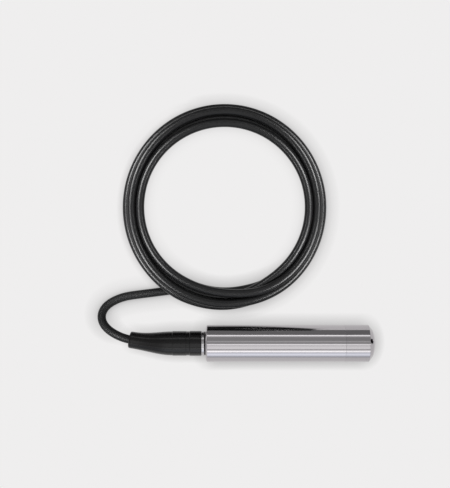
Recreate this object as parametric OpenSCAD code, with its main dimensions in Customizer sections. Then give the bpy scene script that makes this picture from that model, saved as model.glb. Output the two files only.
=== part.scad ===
// Submersible hydrostatic level sensor: a round steel probe with its vented cable coiled beside it.
// Everything lies on a flat surface at z = 0. +X runs along the probe to its nose, and +Z is up.
// The origin is under the middle of the probe, from the gland's spigot to the tip of the nose.
// Millimetres throughout. Places along the probe are counted from the rear face of the housing.

/* [Housing] */
// Outside diameter of the probe
body_d = 27; // [24:0.5:36]
// Length of the housing, from its rear face to the seam
housing_len = 100.7; // [98:0.1:150]
// Wall of the electronics chamber
wall = 2; // [1.7:0.1:2.3]
// Chamfer round the rear face
rear_chamfer = 1; // [0.4:0.1:1.8]
// Thickness of the closed rear end, which the gland is screwed into
rear_wall = 15; // [13.5:0.1:18]

/* [Nose cap] */
// Length of the cap's straight part, from the seam to the shoulder
nose_len = 17.4; // [15.5:0.1:28]
// Length of the chamfer at the shoulder, along the probe
nose_chamfer_len = 2.6; // [1.5:0.1:4]
// Depth of the chamfer at the shoulder, towards the axis
nose_chamfer_depth = 3.1; // [2:0.1:4.5]
// Radius of the domed end
dome_r = 22; // [18:1:60]
// Steel between the pressure chamber and the tip
cap_floor = 4.8; // [3.5:0.1:6]
// Step from the cap's thread down to the pressure chamber
chamber_step = 3; // [2:0.1:3.6]
// Length of the tapered end of the pressure chamber
chamber_taper = 2.5; // [1:0.1:3]
// Diameter at the small end of that taper
chamber_end_d = 9; // [5:0.5:12]
// Diameter of the inlet holes
inlet_d = 3.5; // [2:0.1:4.2]
// Number of inlet holes
inlet_count = 4; // [2:1:6]
// Angle of the first inlet hole from the top of the probe
inlet_turn = 13; // [0:1:44]

/* [Sensor cell] */
// Length of the pressure capsule with its weld ring
capsule_len = 12; // [11:0.1:14]
// Thickness of the corrugated diaphragm
diaphragm_t = 0.1; // [0.05:0.01:0.2]
// Height of the diaphragm's corrugations
corrugation = 0.25; // [0.1:0.05:0.5]
// Thickness of the ring that the diaphragm is welded under
weld_ring_t = 0.8; // [0.5:0.1:1.2]
// Width of that ring, outside the diaphragm's free part
weld_ring_w = 2; // [1.5:0.1:3]
// Depth of the oil space behind the diaphragm
oil_depth = 0.6; // [0.3:0.1:1]
// Side of the square sensing chip
chip_side = 2.6; // [1.6:0.1:3.4]
// Height of the sensing chip
chip_t = 1; // [0.5:0.1:1.2]
// Diameter of the well that the chip stands in
chip_well_d = 5.6; // [5:0.1:7]
// Depth of that well
chip_well_depth = 1.4; // [1.2:0.1:2.5]
// Number of contact pins
pin_count = 4; // [4:1:6]
// Diameter of a contact pin
pin_d = 0.6; // [0.4:0.05:0.9]
// Radius of the circle that the pins stand on
pin_circle_r = 4.6; // [4.2:0.1:5.4]
// Length of the reference tube behind the capsule
reference_tube_len = 3; // [1.5:0.1:4]
// Depth of the reference tube's seat in the capsule
reference_tube_seat = 1; // [0.5:0.1:2]
// Outside diameter of the reference tube
reference_tube_d = 2; // [1.4:0.1:3]

/* [Sensor carrier] */
// Length of the carrier inside the housing
carrier_back = 14; // [13:0.1:16]
// Length of the carrier inside the nose cap
carrier_front = 9.5; // [8:0.1:11]
// Wall of the carrier round the retaining ring
carrier_wall = 1.45; // [1.3:0.05:2]
// Step from the retaining ring's thread down to the capsule
capsule_step = 0.5; // [0.3:0.05:0.8]
// Thickness of the lip in front of the capsule
carrier_lip = 2; // [1.2:0.1:3]
// Length of the retaining ring
ring_len = 3.5; // [2.5:0.1:4]
// Length of the thread's run-out in front of the retaining ring
thread_runout = 0.5; // [0.3:0.1:0.8]
// Width of the retaining ring from its thread to its hole
ring_w = 2.5; // [2:0.1:3.4]
// Width of the ring's two spanner slots
spanner_slot_w = 2.5; // [1.5:0.1:4]
// Depth of the spanner slots
spanner_slot_depth = 1.2; // [0.6:0.1:2]

/* [Seals] */
// Thickness of the round rubber cord of the O-rings
o_ring_cord = 1.5; // [1.35:0.05:1.7]
// Depth of the grooves for the two inner O-rings
o_ring_groove = 1.1; // [1:0.05:1.25]
// Width of those grooves
o_ring_groove_w = 2; // [1.8:0.1:2.4]
// Distance from the seam back to the carrier's O-ring groove
carrier_groove_at = 1.5; // [1:0.1:1.8]
// Distance from the back of the capsule to its O-ring groove
capsule_groove_at = 4; // [3:0.1:5.5]

/* [Electronics] */
// Distance from the capsule to the round board on its pins
header_gap = 5; // [4.6:0.1:6]
// Clearance round the round board
header_clearance = 1.5; // [0.6:0.1:2.4]
// Thickness of the round board
header_t = 1.2; // [0.8:0.1:1.6]
// Length of the amplifier board
board_len = 58; // [56:0.5:60]
// Clearance between the long edges of the amplifier board and the sleeve
board_clearance = 1; // [0.7:0.05:1]
// Thickness of the amplifier board
board_t = 1.6; // [1:0.1:2]
// Wall of the insulating sleeve
sleeve_wall = 1.1; // [0.8:0.1:1.3]
// How far the sleeve's rails grip the edges of the board
rail_grip = 1; // [0.5:0.1:1.6]
// Thickness of a rail above and below the board
rail_t = 1.2; // [0.8:0.1:2]
// Length of the terminal block along the board
terminal_len = 7; // [6:0.1:9]
// Height of the terminal block
terminal_h = 5.5; // [4.5:0.1:6]
// Distance between neighbouring terminals
terminal_pitch = 4.6; // [4:0.1:5]
// Diameter of a terminal screw
terminal_screw_d = 2.6; // [2:0.1:3.2]
// Distance of the terminal screws from the rear of the block
terminal_screw_at = 4.2; // [3.6:0.1:4.4]
// Length of a surge arrester
arrester_len = 6; // [4:0.1:8]
// Diameter of a surge arrester
arrester_d = 4.6; // [3.5:0.1:5.5]
// Side of the largest chip on the board
board_chip_side = 7; // [5:0.5:8]
// Height of the chips on the board
board_chip_h = 1.2; // [0.8:0.1:2]
// Diameter of a capacitor on the board
capacitor_d = 4; // [3:0.1:4.4]
// Height of a capacitor on the board
capacitor_h = 4.6; // [3:0.1:5.4]

/* [Cable gland] */
// Diameter of the gland's thread
gland_thread_d = 14; // [13:0.1:15]
// Length of the threaded shank
shank_len = 6; // [4:0.1:7]
// Diameter of the collar behind the housing
collar_d = 18; // [17:0.1:20]
// Length of the collar
collar_len = 2.3; // [1.5:0.1:4]
// Gap between collar and housing, which the gland O-ring fills
collar_gap = 1; // [0.8:0.1:1.2]
// Diameter of the spigot that the bend relief is pushed over
spigot_d = 12; // [10.5:0.1:13]
// Length of the spigot
spigot_len = 17.9; // [16:0.1:20]
// Height of the spigot's barbs
barb_h = 0.5; // [0.3:0.1:0.9]
// Number of barbs
barb_count = 3; // [1:1:4]
// Distance between barbs
barb_pitch = 4; // [3:0.1:4.4]
// Plain length behind the first barb
barb_start = 1; // [0.5:0.1:1.5]
// Clearance round the cable in the gland and the bend relief
cable_clearance = 0.25; // [0.15:0.05:0.4]
// Thickness of the thrust washer
washer_t = 0.8; // [0.5:0.1:1.5]
// Length of the cable seal's straight part
seal_len = 4.4; // [3:0.1:5]
// Length of the cone at the seal's front end
seal_cone = 1.6; // [1:0.1:2]
// Diameter at the small end of that cone
seal_end_d = 8.4; // [7.8:0.1:9]
// Length of the crimp sleeve on the end of the jacket
crimp_len = 4; // [3:0.1:5]
// Wall of the crimp sleeve
crimp_wall = 1.5; // [1.2:0.1:2]
// How far the crimp sleeve reaches past the end of the jacket
crimp_past_jacket = 1; // [0.5:0.1:2]

/* [Bend relief] */
// Largest diameter of the bend relief
boot_d = 18.2; // [16:0.1:19]
// Length of the first band, next to the collar
boot_band_len = 8.6; // [6:0.1:11]
// Length of the second band
boot_grip_len = 10.2; // [8:0.1:12]
// Diameter of the second band
boot_grip_d = 17.9; // [16:0.1:18.2]
// Width of the groove between the bands
boot_groove_w = 2.2; // [1:0.1:3]
// Depth of that groove
boot_groove_depth = 0.35; // [0.2:0.05:0.6]
// Length of the tapered part
boot_taper_len = 31.5; // [24:0.5:40]
// Diameter where the taper begins
boot_taper_d = 17.4; // [15.5:0.1:17.8]
// Diameter at the narrow end
boot_tip_d = 12.2; // [10.5:0.1:13.5]
// Length of the rounded lip at the narrow end
boot_lip = 1.4; // [0.8:0.1:2.5]
// How far the narrow end is pulled sideways by the cable
boot_bend = 2.8; // [0:0.1:4]

/* [Cable] */
// Outside diameter of the cable
cable_d = 6.2; // [5.8:0.1:6.6]
// Diameter of an insulated conductor
conductor_d = 1.3; // [1:0.1:1.6]
// Outside diameter of the vent capillary
capillary_d = 1.8; // [1.4:0.1:2]
// Bore of the vent capillary
capillary_bore = 0.8; // [0.5:0.1:1]
// Diameter of the screen's drain wire
drain_d = 0.9; // [0.7:0.1:1.3]
// Diameter of the moisture filters on the capillary
filter_d = 3.6; // [3:0.1:4]
// Length of a moisture filter
filter_len = 5; // [4:0.1:7]

/* [Coil] */
// Radius of the middle of the coiled turns
coil_r = 66.25; // [60:0.25:90]
// How far neighbouring turns press into each other
turn_swell = 0.05; // [0.02:0.01:0.1]
// Angle at which the outer bottom turn begins
lane_to = 250; // [246:1:262]

/* [Free end] */
// Angle on the coil at which the jacket ends
free_angle = 104; // [60:1:150]
// Angle that the shrink sleeve covers on the jacket
shrink_on_jacket = 8; // [4:1:14]
// Angle that the shrink sleeve reaches past the jacket
shrink_past_jacket = 3; // [2:1:5]
// Wall of the shrink sleeve
shrink_wall = 0.2; // [0.15:0.05:0.3]
// Angle that the stripped conductors cover
tail_angle = 44; // [30:1:60]
// Angle over which they sink to the surface
tail_settle = 10; // [8:1:14]
// Angle from the end of the jacket to the moisture filter
filter_angle = 8; // [6:1:12]
// Distance between the conductors where they lie side by side
tail_pitch = 2.3; // [2.2:0.05:2.4]
// Diameter of a wire ferrule's collar
ferrule_collar_d = 2.1; // [1.9:0.05:2.2]
// Length of a ferrule's collar
ferrule_collar_len = 3; // [2:0.1:5]
// Diameter of a ferrule's metal tube
ferrule_tube_d = 1.1; // [0.8:0.1:1.5]
// Length of a ferrule's metal tube
ferrule_tube_len = 6; // [4:0.5:10]

/* [Hidden] */
$fn = 96;

// Clearances between turned pieces, and how far a cut runs past the face it opens
fit = 0.05;
slack = 0.3;
past = 1;

body_r = body_d / 2;
axis_z = body_r;
bore_r = body_r - wall;
cable_r = cable_d / 2;
pass_r = cable_r + cable_clearance;

// Places along the probe, front part
seam = housing_len;
shoulder = seam + nose_len;
chamfer_end = shoulder + nose_chamfer_len;
chamfer_r = body_r - nose_chamfer_depth;
tip = chamfer_end + dome_r - sqrt(dome_r * dome_r - chamfer_r * chamfer_r);
carrier_rear = seam - carrier_back;
carrier_face = seam + carrier_front;
cap_step = carrier_face + slack;
chamber_end = tip - cap_floor;
capsule_front = carrier_face - carrier_lip;
capsule_back = capsule_front - capsule_len;
cell_front = capsule_front - weld_ring_t - diaphragm_t;
oil_floor = cell_front - oil_depth;
well_floor = oil_floor - chip_well_depth;
ring_rear = capsule_back - ring_len;
header_front = capsule_back - header_gap;
header_rear = header_front - header_t;
carrier_r = bore_r - fit;
ring_thread_r = carrier_r - carrier_wall;
capsule_r = ring_thread_r - capsule_step;
diaphragm_r = capsule_r - weld_ring_w;
ring_hole_r = ring_thread_r - ring_w;
header_r = ring_thread_r - header_clearance;
chamber_r = bore_r - chamber_step;

// The inlet holes stand square on the chamfer
inlet_tilt = atan2(nose_chamfer_len, nose_chamfer_depth);
inlet_s = shoulder + nose_chamfer_len / 2;
inlet_r = body_r - nose_chamfer_depth / 2;
inlet_reach = (inlet_r - chamber_r + inlet_d / 2) / sin(inlet_tilt);

// Places along the probe, rear part, which count backwards from the housing's rear face
collar_front = -collar_gap;
collar_rear = collar_front - collar_len;
spigot_rear = collar_rear - spigot_len;
spigot_r = spigot_d / 2;
gland_r = gland_thread_d / 2;
washer_front = shank_len + washer_t;
cone_start = washer_front + seal_len;
cone_end = cone_start + seal_cone;
jacket_end = rear_wall + crimp_len - crimp_past_jacket;

// The origin lies under the middle of the probe
rear_x = -(tip + spigot_rear) / 2;

// Electronics
board_rear = header_rear - board_len;
board_top = board_t / 2;
sleeve_r = bore_r - 2 * fit;
sleeve_in_r = sleeve_r - sleeve_wall;
board_w = 2 * (sleeve_in_r - board_clearance);
terminal_w = 3 * terminal_pitch;
wire_hole_r = conductor_d / 2 + slack;
wire_hole_z = board_top + terminal_h / 2;
wire_hole_depth = 2.5;

// Places on the board: the arresters' from its rear end, the chips' and capacitors' from its front end
arrester_at = [14, 21];
chip_back = [23.5, 15, 5];
chip_scale = [1, 0.7, 0.6];
capacitor_y = board_w / 2 - rail_grip - capacitor_d / 2 - slack;
capacitor_back = [[31, -capacitor_y], [31, capacitor_y], [9.8, 0]];

// Bend relief
boot_front = collar_rear;
groove_front = boot_front - boot_band_len;
groove_rear = groove_front - boot_groove_w;
taper_start = groove_rear - boot_grip_len;
boot_end = taper_start - boot_taper_len;
boot_r = boot_d / 2;
boot_edge = 0.5;
boot_sides = 36;
boot_rows = 18;
boot_ease = 1.3;

// The cable's way from the bend relief into the coil: X and Y from the mouth of the bend relief,
// and the share of the probe's height at which the cable still is
lead_route = [
    [0, 0, 1], [-4, 1, 0.98], [-8, 2.5, 0.92], [-12, 4.5, 0.82], [-16, 7, 0.66],
    [-19.5, 10.5, 0.49], [-21.5, 15, 0.3], [-21, 19.5, 0.14], [-18.5, 23.5, 0.05], [-14.5, 26.5, 0],
    [-9.5, 29, 0], [-3.5, 31, 0], [4, 32, 0], [12, 33, 0], [20, 34, 0], [28, 35, 0],
    [36, 36, 0], [44, 36, 0], [50, 34.5, 0],
];
lead_steps = 2;
lead_sides = 12;
wire_sides = 8;

// Places of the drain wire, the conductors and the capillary in the cable's section
core_at = [[-1.25, -0.4], [0, -1.5], [1.25, -0.4]];
capillary_at = [0, 1.1];
wire_straight = 3;

// The capillary's way in the probe, from its place in the cable to the space under the board
capillary_drop = [[0, 0], [3, 0], [6, -3], [9, -4.5], [12, -4.5]];
capillary_path = smooth([for (p = capillary_drop)
    [rear_x + jacket_end + p[0], 0, axis_z - capillary_at[1] + p[1]]], 2);

// Places of the turns in the coil's section: quarter diameters from the middle radius, and rows.
// The cable enters the first of them, at this angle.
turn_slots = [[-1, 0], [3, 0], [1, 1], [-1, 2], [3, 2], [-3, 3], [1, 3]];
join_angle = 252.6;
lead_join = lead_route[len(lead_route) - 1];
coil_cx = rear_x + boot_end + lead_join[0] - slot_r(turn_slots[0]) * cos(join_angle);
coil_cy = boot_bend + lead_join[1] - slot_r(turn_slots[0]) * sin(join_angle);

// Free end, in the lane under the outer turns
shrink_r = cable_r + shrink_wall;
lane_r = shrink_r + slack;
tail_start = free_angle + shrink_past_jacket;
tail_end = free_angle + tail_angle;
free_r = slot_r(turn_slots[1]);
ferrule_z = ferrule_collar_d / 2;

// Radius and height of a turn's place in the coil
function slot_r(slot) = coil_r + slot[0] * cable_d / 4;
function slot_z(slot) = cable_r + slot[1] * cable_d * sqrt(3) / 2;

// A vector's direction
function unit(v) = v / norm(v);

// Uniform cubic B-spline through a list whose first and last points count three times
function spline_point(p, i, t) =
    (pow(1 - t, 3) * p[i] + (3 * pow(t, 3) - 6 * t * t + 4) * p[i + 1]
     + (-3 * pow(t, 3) + 3 * t * t + 3 * t + 1) * p[i + 2] + pow(t, 3) * p[i + 3]) / 6;
function smooth(points, steps) =
    let (last = points[len(points) - 1], p = concat([points[0], points[0]], points, [last, last]))
    concat([for (i = [0:len(p) - 4], j = [0:steps - 1]) spline_point(p, i, j / steps)], [last]);

// Direction of a path at its point i
function heading(path, i) = unit(path[min(i + 1, len(path) - 1)] - path[max(i - 1, 0)]);

// Ring of points round a path's point i, square to the path
function ring(path, i, r, sides) =
    let (t = heading(path, i), side = unit(cross([0, 0, 1], t)), up = cross(t, side))
    [for (k = [0:sides - 1]) let (a = 360 * k / sides) path[i] + r * (cos(a) * side + sin(a) * up)];

// Faces between two rings of points that start at a and b
function skin(a, b, sides) = [for (k = [0:sides - 1]) let (n = (k + 1) % sides) [a + k, a + n, b + n, b + k]];

// Point at an angle on the coil
function on_coil(angle, r, z) = [coil_cx + r * cos(angle), coil_cy + r * sin(angle), z];

// Middle line of the bend relief's tapered part, as a share of its length
function boot_line(u) = [rear_x + taper_start - u * boot_taper_len, boot_bend * u * u, axis_z];

// Outer radius of the tapered part, eased from the wide end to the narrow end, with a rounded lip
function boot_radius(u) =
    let (ease = pow((1 + cos(180 * u)) / 2, boot_ease),
         lip = max(0, 1 - (1 - u) * boot_taper_len / boot_lip))
    boot_tip_d / 2 + (boot_taper_d - boot_tip_d) / 2 * ease
        - (boot_tip_d / 2 - pass_r) / 2 * (1 - sqrt(max(0, 1 - lip * lip)));

// Outline of the gland's spigot with its barbs, from its rear end to the collar
function spigot_line(grow) = concat(
    [[spigot_rear, spigot_r + grow]],
    [for (i = [0:barb_count - 1], j = [0:2])
        let (foot = spigot_rear + barb_start + i * barb_pitch, top = foot + barb_pitch / 2)
        [[foot, spigot_r + grow], [top, spigot_r + barb_h + grow], [top, spigot_r + grow]][j]],
    [[collar_rear, spigot_r + grow]]);

// Height of the diaphragm's corrugations at a radius
function wave(r) =
    let (inner = diaphragm_r / 5, pitch = diaphragm_r / 5)
    r < inner || r > diaphragm_r ? 0 : corrugation * (1 - cos(360 * (r - inner) / pitch)) / 2;

// Turns children that are drawn round Z to lie along the probe's axis
module along_probe() {
    translate([rear_x, 0, axis_z]) rotate([0, 90, 0]) children();
}

// A turned piece, from its half section given as [place along the probe, radius]
module turned(section) {
    along_probe() rotate_extrude() polygon([for (p = section) [p[1], p[0]]]);
}

// A plain ring between two places and two radii
module turned_ring(from, to, inner, outer) {
    turned([[from, inner], [from, outer], [to, outer], [to, inner]]);
}

// An O-ring squeezed between two radii
module radial_seal(at, inner, outer) {
    along_probe() translate([0, 0, at]) rotate_extrude() intersection() {
        translate([(inner + outer) / 2, 0]) circle(d = o_ring_cord);
        translate([inner, -o_ring_cord]) square([outer - inner, 2 * o_ring_cord]);
    }
}

// A round bar along a path
module bar(path, r, sides) {
    count = len(path);
    polyhedron(
        points = [for (i = [0:count - 1]) each ring(path, i, r, sides)],
        faces = concat(
            [[for (k = [0:sides - 1]) k]],
            [for (i = [0:count - 2]) each skin((i + 1) * sides, i * sides, sides)],
            [[for (k = [sides - 1:-1:0]) (count - 1) * sides + k]]));
}

// A hollow tube along a path, with its outer and inner radius at each point
module tube(path, outer, inner, sides) {
    count = len(path);
    bore = count * sides;
    end = (count - 1) * sides;
    polyhedron(
        points = concat([for (i = [0:count - 1]) each ring(path, i, outer[i], sides)],
                        [for (i = [0:count - 1]) each ring(path, i, inner[i], sides)]),
        faces = concat(
            [for (i = [0:count - 2]) each skin((i + 1) * sides, i * sides, sides)],
            [for (i = [0:count - 2]) each skin(bore + i * sides, bore + (i + 1) * sides, sides)],
            skin(0, bore, sides),
            skin(bore + end, end, sides)));
}

// Places children at the end of a path, standing on its last ring
module at_path_end(path) {
    last = len(path) - 1;
    t = heading(path, last);
    translate(path[last]) rotate([0, 0, atan2(t[1], t[0])]) rotate([0, 90, 0]) children();
}

// Part of a turn of the coil, round the coil's centre
module turn_arc(from, to) {
    translate([coil_cx, coil_cy, 0]) rotate([0, 0, from]) rotate_extrude(angle = to - from) children();
}

// Places children on the amplifier board, counted from its rear edge
module on_board(x, y) {
    translate([rear_x + board_rear + x, y, axis_z + board_top]) children();
}

// Housing: one turned piece with the gland's bore in its closed rear end
module housing() {
    color("silver") turned([
        [0, gland_r], [0, body_r - rear_chamfer], [rear_chamfer, body_r], [seam, body_r],
        [seam, bore_r], [rear_wall, bore_r], [rear_wall, pass_r], [cone_end, pass_r],
        [cone_end, seal_end_d / 2], [cone_start, gland_r],
    ]);
}

// Nose cap: threaded skirt, pressure chamber, domed end and oblique inlet holes
module nose_cap() {
    color("lightgray") difference() {
        intersection() {
            turned([[seam, 0], [seam, body_r], [shoulder, body_r], [chamfer_end, chamfer_r],
                    [tip + past, chamfer_r], [tip + past, 0]]);
            along_probe() translate([0, 0, tip - dome_r]) sphere(dome_r);
        }
        turned([[seam - past, 0], [seam - past, bore_r], [cap_step, bore_r], [cap_step, chamber_r],
                [chamber_end - chamber_taper, chamber_r], [chamber_end, chamber_end_d / 2],
                [chamber_end, 0]]);
        for (i = [0:inlet_count - 1])
            translate([rear_x, 0, axis_z]) rotate([360 * i / inlet_count - inlet_turn, 0, 0])
                translate([inlet_s, 0, inlet_r]) rotate([0, 90 - inlet_tilt, 0])
                    translate([0, 0, -inlet_reach]) cylinder(d = inlet_d, h = inlet_reach + 3 * past);
    }
}

// Sensor carrier: nipple that joins housing and nose cap and holds the pressure capsule
module sensor_carrier() {
    groove = seam - carrier_groove_at - o_ring_groove_w;
    step = capsule_back + thread_runout;
    color("gainsboro") turned([
        [carrier_rear, ring_thread_r], [carrier_rear, carrier_r], [groove, carrier_r],
        [groove, carrier_r - o_ring_groove], [groove + o_ring_groove_w, carrier_r - o_ring_groove],
        [groove + o_ring_groove_w, carrier_r], [carrier_face, carrier_r],
        [carrier_face, diaphragm_r],
        [capsule_front, diaphragm_r], [capsule_front, capsule_r + fit], [step, capsule_r + fit],
        [step, ring_thread_r],
    ]);
}

// O-ring between carrier and housing
module carrier_o_ring() {
    color("black") radial_seal(seam - carrier_groove_at - o_ring_groove_w / 2,
                               carrier_r - o_ring_groove, bore_r);
}

// Pressure capsule: steel header with the oil space, the chip's well and holes for the pins
module sensor_capsule() {
    groove = capsule_back + capsule_groove_at;
    color("lightsteelblue") difference() {
        turned([
            [capsule_back, 0], [capsule_back, capsule_r], [groove, capsule_r],
            [groove, capsule_r - o_ring_groove], [groove + o_ring_groove_w, capsule_r - o_ring_groove],
            [groove + o_ring_groove_w, capsule_r], [cell_front, capsule_r], [cell_front, diaphragm_r],
            [oil_floor, diaphragm_r], [oil_floor, chip_well_d / 2], [well_floor, chip_well_d / 2],
            [well_floor, 0],
        ]);
        for (i = [0:pin_count - 1]) at_pin(i, capsule_back - past)
            cylinder(d = pin_d, h = capsule_len + 2 * past);
        along_probe() translate([0, 0, capsule_back - past])
            cylinder(d = reference_tube_d, h = reference_tube_seat + past);
        along_probe() translate([0, 0, capsule_back])
            cylinder(d = reference_tube_d / 2, h = well_floor + fit - capsule_back);
    }
}

// Places children at contact pin i
module at_pin(i, at) {
    along_probe() rotate([0, 0, 360 * (i + 0.5) / pin_count]) translate([pin_circle_r, 0, at]) children();
}

// O-ring between capsule and carrier
module capsule_o_ring() {
    color("black") radial_seal(capsule_back + capsule_groove_at + o_ring_groove_w / 2,
                               capsule_r - o_ring_groove, capsule_r + fit);
}

// Diaphragm: thin corrugated foil that closes the oil space
module isolating_diaphragm() {
    step = diaphragm_r / 40;
    radii = [for (i = [0:40]) i * step];
    color("whitesmoke") turned(concat(
        [for (r = radii) [cell_front + wave(r), r]], [[cell_front, capsule_r]],
        [[cell_front + diaphragm_t, capsule_r]],
        [for (i = [40:-1:0]) [cell_front + diaphragm_t + wave(radii[i]), radii[i]]]));
}

// Ring that the diaphragm is welded under
module weld_ring() {
    color("silver") turned_ring(cell_front + diaphragm_t, capsule_front, diaphragm_r, capsule_r);
}

// Silicon chip that measures the difference between oil and vent
module sensing_chip() {
    color("dimgray") translate([rear_x + well_floor, -chip_side / 2, axis_z - chip_side / 2])
        cube([chip_t, chip_side, chip_side]);
}

// Contact pins, from the oil space to the round board
module header_pins() {
    color("gold") for (i = [0:pin_count - 1]) at_pin(i, header_rear - slack)
        cylinder(d = pin_d, h = oil_floor + slack - (header_rear - slack));
}

// Tube that brings the air pressure of the housing to the back of the chip
module reference_tube() {
    color("silver") turned_ring(capsule_back - reference_tube_len, capsule_back + reference_tube_seat,
                                reference_tube_d / 4, reference_tube_d / 2);
}

// Threaded ring that holds the capsule in its carrier
module retaining_ring() {
    color("gray") difference() {
        turned_ring(ring_rear, capsule_back, ring_hole_r, ring_thread_r - fit);
        translate([rear_x + ring_rear - past, -ring_thread_r, axis_z - spanner_slot_w / 2])
            cube([spanner_slot_depth + past, 2 * ring_thread_r, spanner_slot_w]);
    }
}

// Round board that is soldered to the pins
module header_board() {
    color("seagreen") difference() {
        turned_ring(header_rear, header_front, reference_tube_d / 2, header_r);
        for (i = [0:pin_count - 1]) at_pin(i, header_rear - past)
            cylinder(d = pin_d, h = header_t + 2 * past);
    }
}

// Amplifier board, edge-on to the round board
module amplifier_board() {
    color("seagreen") translate([rear_x + board_rear, -board_w / 2, axis_z - board_t / 2])
        cube([board_len, board_w, board_t]);
}

// Chips on the amplifier board, each with two rows of legs
module board_chips() {
    color("black") for (i = [0:len(chip_back) - 1]) on_board(board_len - chip_back[i], 0) {
        side = board_chip_side * chip_scale[i];
        pitch = side / 4;
        translate([-side / 2, -side / 2, 0]) cube([side, side, board_chip_h]);
        for (k = [-1.5:1:1.5]) translate([k * pitch - pitch / 6, -side / 2 - past, 0])
            cube([pitch / 3, side + 2 * past, board_chip_h / 3]);
    }
}

// Gas-filled surge arresters across the board
module surge_arresters() {
    cap = arrester_len / 6;
    color("lightpink") for (x = arrester_at) on_board(x, 0) translate([0, 0, arrester_d / 2])
        rotate([90, 0, 0]) {
            cylinder(d = arrester_d - slack, h = arrester_len, center = true);
            for (side = [-1, 1]) translate([0, 0, side * (arrester_len - cap) / 2])
                cylinder(d = arrester_d, h = cap, center = true);
        }
}

// Can capacitors on square feet
module board_capacitors() {
    color("lightsteelblue") for (p = capacitor_back) on_board(board_len - p[0], p[1]) {
        translate([0, 0, capacitor_h / 10]) cube([capacitor_d, capacitor_d, capacitor_h / 5], center = true);
        cylinder(d = capacitor_d - slack, h = capacitor_h);
    }
}

// Terminal block for the two conductors and the screen
module terminal_block() {
    color("forestgreen") difference() {
        on_board(0, -terminal_w / 2) cube([terminal_len, terminal_w, terminal_h]);
        for (k = [-1:1]) {
            translate([rear_x + board_rear - past, k * terminal_pitch, axis_z + wire_hole_z])
                rotate([0, 90, 0]) cylinder(r = wire_hole_r, h = past + wire_hole_depth);
            on_board(terminal_screw_at, k * terminal_pitch) translate([0, 0, terminal_h / 2])
                cylinder(d = terminal_screw_d + 2 * fit, h = terminal_h);
        }
    }
}

// Slotted screws of the terminal block
module terminal_screws() {
    depth = terminal_h / 2 - slack;
    color("goldenrod") for (k = [-1:1]) on_board(terminal_screw_at, k * terminal_pitch)
        translate([0, 0, terminal_h / 2]) difference() {
            cylinder(d = terminal_screw_d, h = depth);
            translate([-terminal_screw_d, -slack, depth - 2 * slack])
                cube([2 * terminal_screw_d, 2 * slack, past]);
        }
}

// Plastic sleeve that lines the housing and carries the board in two rails
module insulating_sleeve() {
    length = carrier_rear - slack - rear_wall;
    rail_y = board_w / 2 - rail_grip;
    color("ivory") difference() {
        union() {
            turned_ring(rear_wall, rear_wall + length, sleeve_in_r, sleeve_r);
            intersection() {
                turned_ring(rear_wall, rear_wall + length, 0, sleeve_in_r + sleeve_wall / 2);
                for (side = [-1, 1]) scale([1, side, 1])
                    translate([rear_x + rear_wall, rail_y, axis_z - board_t / 2 - rail_t])
                        cube([length, body_d, board_t + 2 * rail_t]);
            }
        }
        translate([rear_x + board_rear - fit, -board_w / 2 - fit, axis_z - board_t / 2 - fit])
            cube([housing_len, board_w + 2 * fit, board_t + 2 * fit]);
    }
}

// Gland screw: spigot, collar and hollow threaded shank in one turned piece
module gland_screw() {
    edge = collar_len / 5;
    color("silver") turned(concat(
        [[spigot_rear, pass_r]], spigot_line(0),
        [[collar_rear, collar_d / 2 - edge], [collar_rear + edge, collar_d / 2],
         [collar_front - edge, collar_d / 2], [collar_front, collar_d / 2 - edge],
         [collar_front, gland_r - fit], [shank_len, gland_r - fit], [shank_len, pass_r]]));
}

// O-ring in the gap between collar and housing
module gland_o_ring() {
    color("black") along_probe() translate([0, 0, collar_front]) rotate_extrude() intersection() {
        translate([gland_r + o_ring_cord / 2, collar_gap / 2]) circle(d = o_ring_cord);
        translate([gland_r, 0]) square([2 * o_ring_cord, collar_gap]);
    }
}

// Washer that keeps the turning shank off the rubber
module thrust_washer() {
    color("gainsboro") turned_ring(shank_len, washer_front, pass_r, gland_r - fit);
}

// Rubber seal that the gland presses round the cable and into the housing's cone
module cable_seal() {
    color("black") turned([
        [washer_front, cable_r], [washer_front, gland_r - fit], [cone_start, gland_r - fit],
        [cone_end, seal_end_d / 2 - fit], [cone_end, cable_r],
    ]);
}

// Sleeve that is crimped on the jacket, so that the cable can't be pulled out
module crimp_sleeve() {
    outer = cable_r + crimp_wall;
    third = crimp_len / 3;
    color("silver") turned([
        [rear_wall, cable_r], [rear_wall, outer], [rear_wall + third, outer],
        [rear_wall + 1.5 * third, outer - crimp_wall / 4], [rear_wall + 2 * third, outer],
        [rear_wall + crimp_len, outer], [rear_wall + crimp_len, cable_r],
    ]);
}

// Way of a wire from its place in the cable to a terminal. In the probe the cable lies with its
// capillary down, so that the wires start above it.
function wire_to_terminal(side) =
    let (core = core_at[side + 1], from = [rear_x + jacket_end, core[0], axis_z - core[1]],
         to = [rear_x + board_rear + wire_hole_depth, side * terminal_pitch, axis_z + wire_hole_z],
         straight = [wire_straight, 0, 0])
    smooth([from, from + straight, to - 2 * straight, to - straight, to], 2);

// Conductors from the end of the jacket to the outer terminals
module inner_conductors() {
    color("firebrick") for (side = [-1, 1]) bar(wire_to_terminal(side), conductor_d / 2, wire_sides);
}

// Drain wire of the screen, to the middle terminal
module inner_drain_wire() {
    color("darkgray") bar(wire_to_terminal(0), drain_d / 2, wire_sides);
}

// A capillary along a path
module capillary(path) {
    tube(path, [for (p = path) capillary_d / 2], [for (p = path) capillary_bore / 2], wire_sides);
}

// Capillary that vents the housing through the cable
module vent_capillary() {
    color("white") capillary(capillary_path);
}

// Filter that keeps moisture out of the housing
module capillary_filter() {
    color("whitesmoke") at_path_end(capillary_path) cylinder(d = filter_d, h = filter_len);
}

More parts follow.
